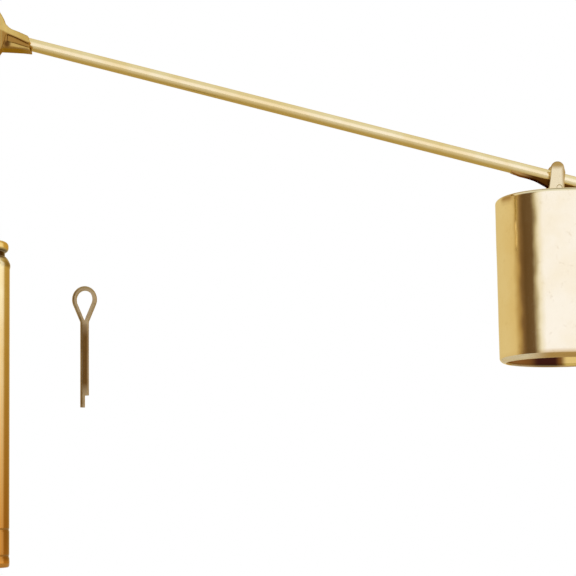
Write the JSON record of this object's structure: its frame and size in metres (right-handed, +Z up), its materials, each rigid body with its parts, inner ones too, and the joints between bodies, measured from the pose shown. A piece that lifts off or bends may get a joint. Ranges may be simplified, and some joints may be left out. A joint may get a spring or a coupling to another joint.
{
  "type": "toilet fill valve",
  "caption": "Brass float-operated fill valve: threaded tail and standpipe, pivoted lever working a plunger, sloping rod with a hanging open-bottomed cup float, hush tube and a spare split pin.",
  "frame": {"origin": "centre of the tank hole at the tank floor, on the standpipe's axis, where the tank washer's underside rests", "axes": "+Z up along the standpipe, +X along the lever towards the float, +Y through the fulcrum pin towards the back"},
  "size_m": [0.2947, 0.0492, 0.2888],
  "materials": {
    "polished_brass": "bright polished",
    "cast_brass": "satin, as cast and machined",
    "dull_bronze": "tarnished",
    "rubber": "matt",
    "nylon": "satin"
  },
  "bodies": {
    "valve": {"tail_shank": "cast_brass", "tank_washer": "rubber", "clamp_washer": "nylon", "lock_nut": "cast_brass", "coupling_nut": "cast_brass", "cone_washer": "rubber", "inlet_filter": "nylon", "standpipe": "polished_brass", "union_washer": "rubber", "union_nut": "cast_brass", "valve_head": "cast_brass", "valve_seat": "nylon", "bonnet_nut": "cast_brass", "stem_ring": "rubber", "fulcrum_split_pin": "dull_bronze", "spare_split_pin": "dull_bronze", "drop_pipe": "polished_brass", "hush_collar": "polished_brass", "hush_tube": "polished_brass"},
    "lever": {"lever": "cast_brass", "float_rod": "polished_brass", "rod_saddle": "cast_brass", "link_pin": "polished_brass"},
    "plunger": {"plunger": "polished_brass", "seat_washer": "rubber", "washer_screw": "polished_brass"},
    "float": {"float_can": "polished_brass", "float_clevis": "cast_brass", "float_rivet": "cast_brass", "stud_nut": "cast_brass", "stud_washer": "rubber"}
  },
  "joints": [
    {"name": "lever_pivot", "type": "hinge", "parent": "valve", "child": "lever", "pos_m": [0.019, 0, 0.2222], "axis": [0, -1, 0], "range_deg": [0, 15]},
    {"name": "plunger_slide", "type": "slide", "parent": "valve", "child": "plunger", "axis": [0, 0, -1], "range_m": [0, 0.005]},
    {"name": "float_swing", "type": "hinge", "parent": "lever", "child": "float", "pos_m": [0.2514, 0, 0.1594], "axis": [0, 1, 0], "range_deg": [-12, 22]}
  ],
  "couplings": [
    {"joint": "plunger_slide", "follows": "lever_pivot", "m_per_rad": 0.019}
  ]
}
